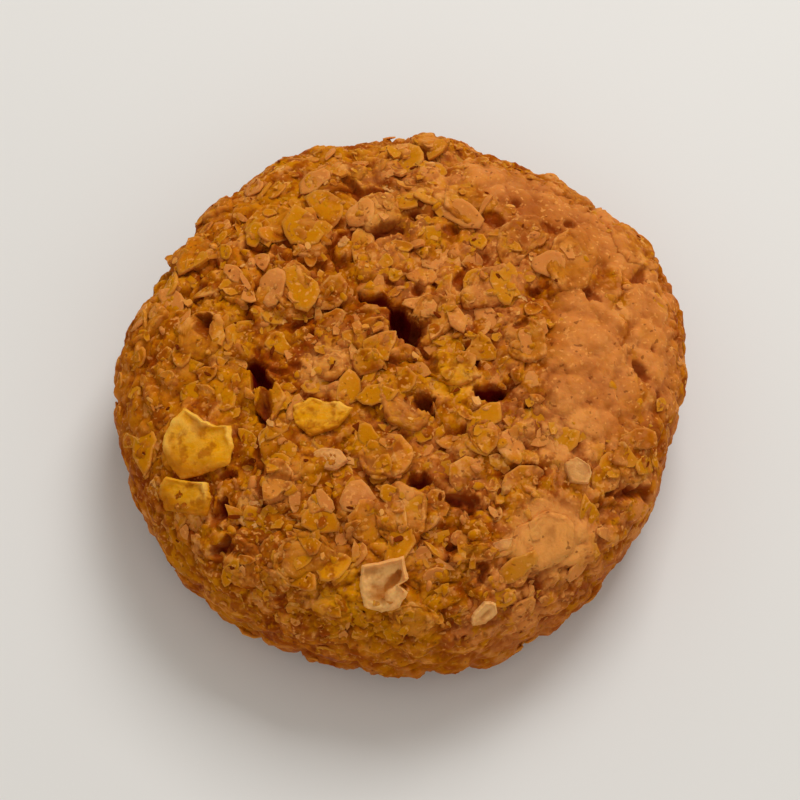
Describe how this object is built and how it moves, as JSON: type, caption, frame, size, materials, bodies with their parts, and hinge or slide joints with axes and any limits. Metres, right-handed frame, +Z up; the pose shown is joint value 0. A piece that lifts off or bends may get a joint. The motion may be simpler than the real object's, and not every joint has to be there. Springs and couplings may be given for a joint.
{
  "type": "oatmeal cinnamon cookie",
  "caption": "Round, thick oatmeal cinnamon cookie with a craggy top, rolled oat flakes baked into it and a flat base to rest on.",
  "frame": {"origin": "under the middle of the cookie, on the surface that it rests on", "axes": "+Z up through the cookie's thickness, -Y towards the picture's lower edge"},
  "size_m": [0.046, 0.0454, 0.015],
  "materials": {
    "oat_dough": "matte baked crumb"
  },
  "bodies": {
    "root": {"cookie": "oat_dough"}
  },
  "joints": []
}
